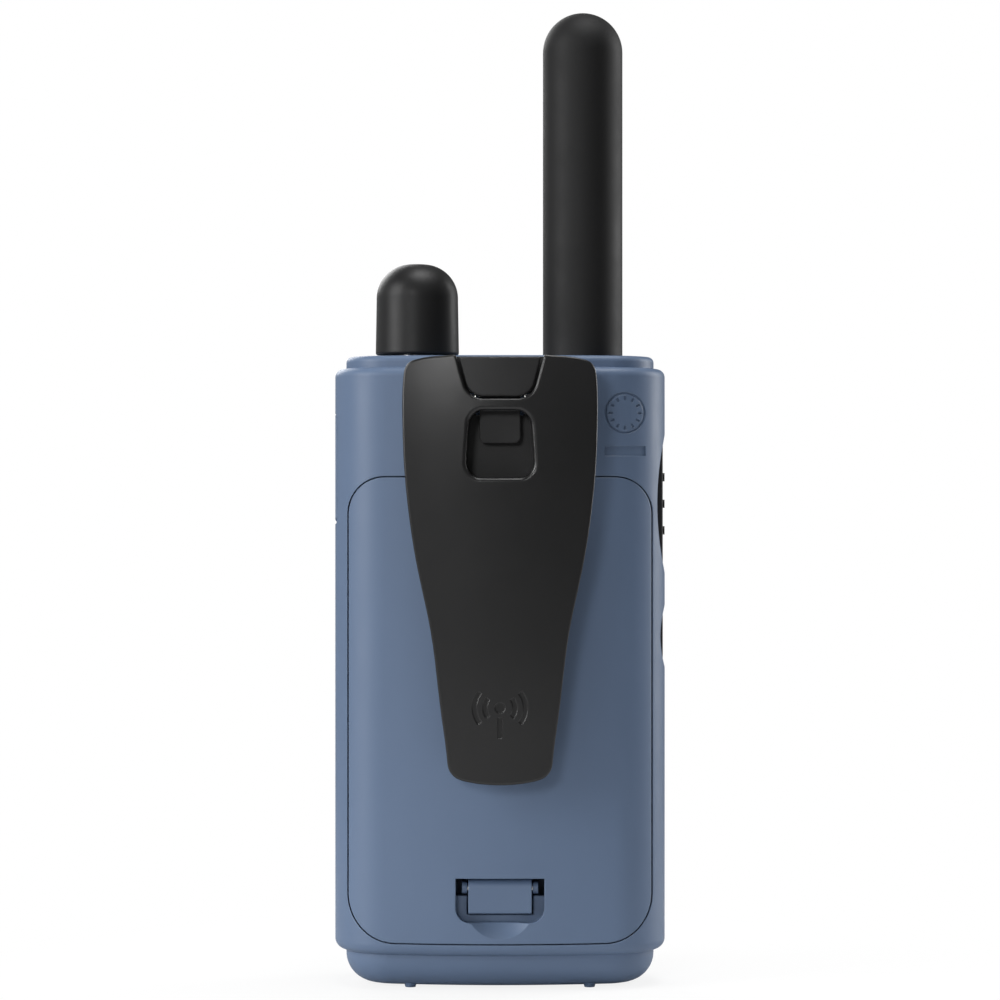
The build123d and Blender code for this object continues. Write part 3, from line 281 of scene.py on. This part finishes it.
def crystal_glass():
    """The grey-green reflective face of a liquid crystal display."""
    finish = Finish("crystal_glass")
    dots = finish.noise(5200, 1, 0.5)
    cloud = finish.noise(60, 2, 0.5)
    tone = finish.mix(finish.spread(cloud, 0.3, 0.7, 0, 1), srgb(142, 153, 136), srgb(152, 163, 145))
    finish.links.new(finish.mix(finish.spread(dots, 0.4, 0.6, 0, 0.12), tone, srgb(120, 130, 116)),
                     finish.shader.inputs["Base Color"])
    finish.links.new(finish.spread(cloud, 0.3, 0.7, 0.28, 0.36), finish.shader.inputs["Roughness"])
    finish.bump(dots, 0.15, 0.005 * MM)
    return finish.material


def acoustic_cloth():
    """The black woven cloth over the speaker."""
    finish = Finish("acoustic_cloth")
    weave = finish.add("ShaderNodeTexChecker")
    finish.links.new(finish.place, weave.inputs["Vector"])
    weave.inputs["Scale"].default_value = 3200
    weave.inputs["Color1"].default_value = (0.012, 0.012, 0.013, 1)
    weave.inputs["Color2"].default_value = (0.035, 0.035, 0.037, 1)
    finish.links.new(weave.outputs["Color"], finish.shader.inputs["Base Color"])
    finish.links.new(finish.spread(finish.noise(800), 0.3, 0.7, 0.8, 0.95), finish.shader.inputs["Roughness"])
    finish.bump(weave.outputs["Fac"], 0.5, 0.05 * MM)
    return finish.material


HOUSING_BLUE = srgb(97, 116, 144)
BLACK = srgb(32, 32, 33)

finishes = {
    "housing_plastic": moulded("housing_plastic", HOUSING_BLUE, 0.46, vary=0.03),
    "door_plastic": moulded("door_plastic", HOUSING_BLUE, 0.47, vary=0.03),
    "latch_plastic": moulded("latch_plastic", scaled(HOUSING_BLUE, 0.97), 0.45, vary=0.03),
    # The clip's edges go four times lighter: mostly a painted edge highlight along its rims.
    "clip_plastic": moulded("clip_plastic", scaled(BLACK, 0.55), 0.30, wear=4.0, specular=0.6, smear=0.012),
    "carrier_plastic": moulded("carrier_plastic", scaled(BLACK, 0.9), 0.42, wear=1.7),
    "antenna_rubber": moulded("antenna_rubber", scaled(BLACK, 0.6), 0.60, grain=0.22 * MM, wear=1.4,
                              specular=0.3),
    "knob_plastic": moulded("knob_plastic", scaled(BLACK, 0.64), 0.45, wear=1.5, specular=0.36),
    "white_paint": moulded("white_paint", srgb(222, 224, 224), 0.5, grain=0.1 * MM, depth=0.004 * MM,
                           wear=1.0),
    "fascia_plastic": moulded("fascia_plastic", srgb(34, 35, 38), 0.36, grain=0.12 * MM, wear=1.8),
    "window_clear": clear_pane(),
    "key_rubber": moulded("key_rubber", srgb(66, 69, 74), 0.55, grain=0.12 * MM, wear=1.3),
    "button_rubber": moulded("button_rubber", srgb(32, 32, 33), 0.60, grain=0.2 * MM, wear=1.4),
    "cover_rubber": moulded("cover_rubber", scaled(HOUSING_BLUE, 0.97), 0.55, grain=0.2 * MM, vary=0.03,
                            wear=1.2),
    "mat_rubber": moulded("mat_rubber", srgb(148, 150, 152), 0.65, wear=1.1),
    "foam_black": moulded("foam_black", srgb(42, 42, 43), 0.9, grain=0.4 * MM, depth=0.15 * MM, wear=1.0),
    "spring_steel": metal("spring_steel", srgb(206, 206, 204), 0.26),
    "screw_steel": metal("screw_steel", srgb(96, 97, 100), 0.36),
    "plated_contact": metal("plated_contact", srgb(216, 216, 212), 0.16, (1, 14, 1)),
    "tin_can": metal("tin_can", srgb(200, 202, 204), 0.34, (12, 1, 1)),
    "coil_brass": metal("coil_brass", srgb(204, 168, 96), 0.26),
    "core_plastic": moulded("core_plastic", srgb(214, 210, 196), 0.5, wear=1.0),
    "pot_body": metal("pot_body", srgb(178, 178, 176), 0.38, (10, 1, 1)),
    "shaft_metal": metal("shaft_metal", srgb(204, 204, 204), 0.28),
    "board_green": board_mask(),
    "chip_black": moulded("chip_black", srgb(44, 44, 46), 0.48, wear=1.2),
    "lcd_glass": crystal_glass(),
    "light_tray": moulded("light_tray", srgb(232, 232, 226), 0.35, wear=1.0),
    "speaker_steel": metal("speaker_steel", srgb(162, 164, 166), 0.4),
    "cone_film": moulded("cone_film", srgb(52, 52, 53), 0.35, grain=0.5 * MM, wear=1.2),
    "speaker_felt": acoustic_cloth(),
    "mic_metal": metal("mic_metal", srgb(198, 198, 196), 0.33),
    "cell_jacket": cell_jacket(),
}

slots = {row["node"]: row["material_slot"] for row in frame["record"]["subparts"]}
for node, piece in frame["nodes"].items():
    piece.data.materials.clear()
    piece.data.materials.append(finishes[slots[node]])


# ---- Modelling helpers ----
def deselect():
    bpy.ops.object.select_all(action="DESELECT")


def only(piece):
    deselect()
    piece.select_set(True)
    bpy.context.view_layer.objects.active = piece


def settle(piece, name, slot_name, body):
    """Names a finished piece, puts its place into its mesh, and lets it ride on a body."""
    only(piece)
    bpy.ops.object.transform_apply(location=True, rotation=True, scale=True)
    piece.name = name
    piece.data.name = name
    piece.data.materials.clear()
    piece.data.materials.append(finishes[slot_name])
    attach(piece, body)
    deselect()
    return piece


def rounded_bar(centre, size, bevel, turn=0.0, tilt=0.0):
    """A small bar with soft edges, modelled from a cube; turn is about Y and tilt about Z, in degrees."""
    deselect()
    bpy.ops.mesh.primitive_cube_add(size=1.0, location=(0, 0, 0))
    bar = bpy.context.active_object
    bar.scale = size
    bpy.ops.object.transform_apply(location=False, rotation=False, scale=True)
    bpy.ops.object.mode_set(mode="EDIT")
    bpy.ops.mesh.select_all(action="SELECT")
    bpy.ops.mesh.bevel(offset=bevel, segments=2, affect="EDGES")
    bpy.ops.object.mode_set(mode="OBJECT")
    bar.rotation_euler = (0, math.radians(turn), math.radians(tilt))
    bar.location = centre
    return bar


def join(pieces):
    """Makes one object of several."""
    deselect()
    for piece in pieces:
        piece.select_set(True)
    bpy.context.view_layer.objects.active = pieces[0]
    bpy.ops.object.transform_apply(location=True, rotation=True, scale=True)
    bpy.ops.object.join()
    return bpy.context.active_object


# ---- Marks printed on the keys ----
def key_face(node):
    """The middle of a key's outer face."""
    face_low, face_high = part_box(node)
    return Vector(((face_low.x + face_high.x) / 2, face_low.y, (face_low.z + face_high.z) / 2))


MARK = 0.10 * MM
LIFT = 0.02 * MM
CROWN = 91.0 * MM
KEY_ROUND = 1.1 * MM


def on_key(node, x, z):
    """A point on a key's crowned face, x and z away from its middle."""
    middle = key_face(node)
    across = middle.x + x
    nearest = min(abs(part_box(node)[0].x + KEY_ROUND), abs(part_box(node)[1].x - KEY_ROUND))
    start = 0.0 if abs(middle.x) < 1 * MM else nearest
    drop = (across**2 - start**2) / (2 * CROWN)
    return Vector((across, middle.y + drop - LIFT, middle.z + z))


def lean(node):
    """How far a key's crowned face leans at its middle, in degrees."""
    return math.degrees(key_face(node).x / CROWN)


def chevron(node, name, body, direction):
    """Two arms that meet above their outer ends (direction 1) or below them (-1)."""
    arm = (2.0 * MM, MARK, 0.42 * MM)
    apart, slope = 0.72 * MM, 32
    arms = []
    for side in (-1, 1):
        centre = on_key(node, side * apart, 0)
        arms.append(rounded_bar(centre, arm, 0.04 * MM, side * direction * slope))
    return settle(join(arms), name, "white_paint", body)


def bars(node, name, body, count):
    """Level bars under each other, for the menu key."""
    bar, pitch = (2.6 * MM, MARK, 0.36 * MM), 0.85 * MM
    rows = []
    for i in range(count):
        centre = on_key(node, 0, ((count - 1) / 2 - i) * pitch)
        rows.append(rounded_bar(centre, bar, 0.04 * MM, 0, lean(node)))
    return settle(join(rows), name, "white_paint", body)


def sun(node, name, body):
    """A disc with short rays, for the lamp key."""
    disc_radius, ray_radius, ray = 0.62 * MM, 1.12 * MM, (0.5 * MM, MARK, 0.2 * MM)
    count = 8
    middle = on_key(node, 0, 0)
    deselect()
    bpy.ops.mesh.primitive_cylinder_add(vertices=32, radius=disc_radius, depth=MARK, location=middle,
                                        rotation=(math.radians(90), 0, math.radians(lean(node))))
    disc = bpy.context.active_object
    bpy.ops.object.mode_set(mode="EDIT")
    bpy.ops.mesh.select_all(action="SELECT")
    bpy.ops.mesh.bevel(offset=0.03 * MM, segments=2, affect="EDGES")
    bpy.ops.object.mode_set(mode="OBJECT")
    pieces = [disc]
    for i in range(count):
        turn = 360 / count * i
        x, z = ray_radius * math.cos(math.radians(turn)), ray_radius * math.sin(math.radians(turn))
        pieces.append(rounded_bar(on_key(node, x, z), ray, 0.03 * MM, -turn, lean(node)))
    return settle(join(pieces), name, "white_paint", body)


def radio_waves(node, name, body):
    """A dot with two bows each side, for the call key. A bow is seven short bars that touch."""
    dot_radius, thick, step, overlap = 0.45 * MM, 0.30 * MM, 13, 1.12
    middle = on_key(node, 0, 0)
    deselect()
    bpy.ops.mesh.primitive_cylinder_add(vertices=24, radius=dot_radius, depth=MARK, location=middle,
                                        rotation=(math.radians(90), 0, 0))
    pieces = [bpy.context.active_object]
    for radius in (1.15 * MM, 1.95 * MM):
        link = (thick, MARK, radius * math.radians(step) * overlap)
        for side in (0, 180):
            for i in range(-3, 4):
                turn = side + i * step
                x, z = radius * math.cos(math.radians(turn)), radius * math.sin(math.radians(turn))
                pieces.append(rounded_bar(on_key(node, x, z), link, 0.03 * MM, -turn))
    return settle(join(pieces), name, "white_paint", body)


chevron("up_key", "up_mark", "up", 1)
chevron("down_key", "down_mark", "down", -1)
bars("menu_key", "menu_mark", "menu", 3)
sun("light_key", "light_mark", "light")
radio_waves("call_key", "call_mark", "call")


# ---- What the display shows: a channel number and plain indicators ----
INK = 0.06 * MM
INK_ROUND = 0.02 * MM
SEGMENTS = {"1": "bc", "2": "abged"}

glass_low, glass_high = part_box("lcd_panel")
on_glass = Vector((CENTRE_X, glass_low.y - 0.02 * MM, (glass_low.z + glass_high.z) / 2))


def ink(x, z, wide, tall):
    """A printed bar on the glass, x and z away from its middle. All sizes are in millimetres."""
    return rounded_bar(on_glass + Vector((x, 0, z)) * MM, (wide * MM, INK, tall * MM), INK_ROUND)


def digit(character, x, z, height):
    """A seven-segment figure. Seen from the front, +X is to the right."""
    half, wide, thick = height / 2, height * 0.5, height * 0.11
    short = thick * 1.2
    places = {"a": (0, half, 1), "g": (0, 0, 1), "d": (0, -half, 1), "b": (wide / 2, half / 2, 0),
              "c": (wide / 2, -half / 2, 0), "e": (-wide / 2, -half / 2, 0)}
    made = []
    for segment in SEGMENTS[character]:
        across, up, flat = places[segment]
        size = (wide - short, thick) if flat else (thick, half - short)
        made.append(ink(x + across, z + up, *size))
    return made


def signal_steps(x, z):
    """Four bars that grow to the right."""
    made = []
    for i in range(4):
        tall = 0.8 + 0.5 * i
        made.append(ink(x + 0.9 * i, z + tall / 2, 0.5, tall))
    return made


def battery_sign(x, z):
    """An outline with a nose and three bars in it."""
    wide, tall, line = 4.2, 2.0, 0.25
    made = [ink(x, z - tall / 2, wide, line), ink(x, z + tall / 2, wide, line),
            ink(x - wide / 2, z, line, tall + 0.2), ink(x + wide / 2, z, line, tall + 0.2),
            ink(x + wide / 2 + 0.35, z, 0.45, 0.9)]
    return made + [ink(x + 0.1 + 1.2 * i - 1.4, z, 0.8, 1.3) for i in range(3)]


FIGURE_HEIGHT = 7.6
shown = digit("1", -4.3, -0.6, FIGURE_HEIGHT) + digit("2", 0.9, -0.6, FIGURE_HEIGHT)
shown += signal_steps(-9.2, 4.9) + battery_sign(7.5, 5.9)
settle(join(shown), "display_figures", "chip_black", "housing")


# ---- Floor, lights and surroundings ----
FLOOR_SIZE = 12.0
SWEEP_FROM, SWEEP_TO = 0.03, 0.09
SHADE_FROM, SHADE_TO = 0.10, 0.32

bpy.ops.mesh.primitive_plane_add(size=FLOOR_SIZE, location=(0, 0, 0))
floor = bpy.context.active_object
floor.name = "floor"
floor_finish = Finish("floor_paper")
paper = floor_finish.noise(30, 2)
floor_finish.links.new(floor_finish.mix(paper, (0.93, 0.93, 0.93), (0.96, 0.96, 0.96)),
                       floor_finish.shader.inputs["Base Color"])
floor_finish.shader.inputs["Roughness"].default_value = 0.9
reach = floor_finish.add("ShaderNodeVectorMath", operation="LENGTH")
floor_finish.links.new(floor_finish.place, reach.inputs[0])

# Seen directly, the paper turns into an even white sweep a little way from the radio.
glow = floor_finish.add("ShaderNodeEmission")
sweep = floor_finish.add("ShaderNodeMixShader")
whiteness = floor_finish.spread(reach.outputs["Value"], SWEEP_FROM, SWEEP_TO, 0.85, 1.0)
floor_finish.links.new(whiteness, sweep.inputs["Fac"])
floor_finish.links.new(floor_finish.shader.outputs["BSDF"], sweep.inputs[1])
floor_finish.links.new(glow.outputs["Emission"], sweep.inputs[2])

# What the radio itself gets back from the floor is painted light: bright under it, dark further off, as on a
# small table.
shade = floor_finish.add("ShaderNodeBsdfDiffuse")
further = floor_finish.spread(reach.outputs["Value"], SHADE_FROM, SHADE_TO, 0.0, 1.0)
painted_return_light = floor_finish.mix(further, (0.70, 0.70, 0.70), (0.20, 0.20, 0.20))
floor_finish.links.new(painted_return_light, shade.inputs["Color"])
seen_floor = floor_finish.add("ShaderNodeMixShader")
floor_path = floor_finish.add("ShaderNodeLightPath")
floor_finish.links.new(floor_path.outputs["Is Camera Ray"], seen_floor.inputs["Fac"])
floor_finish.links.new(shade.outputs["BSDF"], seen_floor.inputs[1])
floor_finish.links.new(sweep.outputs["Shader"], seen_floor.inputs[2])
floor_finish.links.new(seen_floor.outputs["Shader"], floor_finish.nodes["Material Output"].inputs["Surface"])
floor.data.materials.append(floor_finish.material)


AIM = Vector((0, 0, 0.075))


def softbox(name, location, size, power):
    """A rectangular lamp that looks at the radio's middle."""
    data = bpy.data.lights.new(name, "AREA")
    data.shape = "RECTANGLE"
    data.size, data.size_y = size
    data.energy = power
    light = bpy.data.objects.new(name, data)
    light.location = location
    light.rotation_euler = (AIM - Vector(location)).to_track_quat("-Z", "Y").to_euler()
    bpy.context.collection.objects.link(light)


softbox("key", (0.98, 0.46, 0.42), (0.45, 0.8), 9.2)
softbox("panel", (0.28, 1.0, 0.34), (0.2, 0.2), 1.9)
softbox("fill", (-0.5, 1.2, 0.5), (0.6, 0.6), 0.2)
softbox("edge", (-0.62, -0.30, 0.20), (0.2, 0.6), 3.0)
softbox("edge_left", (0.75, -0.35, 0.2), (0.2, 0.6), 0.2)
softbox("top", (-0.1, 0.08, 0.9), (0.5, 0.4), 4.2)
softbox("front", (0.5, -1.1, 0.6), (0.8, 0.6), 7)

world = bpy.data.worlds.new("studio")
bpy.context.scene.world = world
world.use_nodes = True
ROOM_LIGHT = 0.13
background = world.node_tree.nodes["Background"]
background.inputs["Color"].default_value = (1, 1, 1, 1)
background.inputs["Strength"].default_value = ROOM_LIGHT
seen = world.node_tree.nodes.new("ShaderNodeBackground")
seen.inputs["Color"].default_value = (1, 1, 1, 1)
seen.inputs["Strength"].default_value = 1.0
paths = world.node_tree.nodes.new("ShaderNodeLightPath")
choose = world.node_tree.nodes.new("ShaderNodeMixShader")
world.node_tree.links.new(paths.outputs["Is Camera Ray"], choose.inputs["Fac"])
world.node_tree.links.new(background.outputs["Background"], choose.inputs[1])
world.node_tree.links.new(seen.outputs["Background"], choose.inputs[2])
world.node_tree.links.new(choose.outputs["Shader"], world.node_tree.nodes["World Output"].inputs["Surface"])
bpy.context.scene.view_settings.view_transform = "Standard"
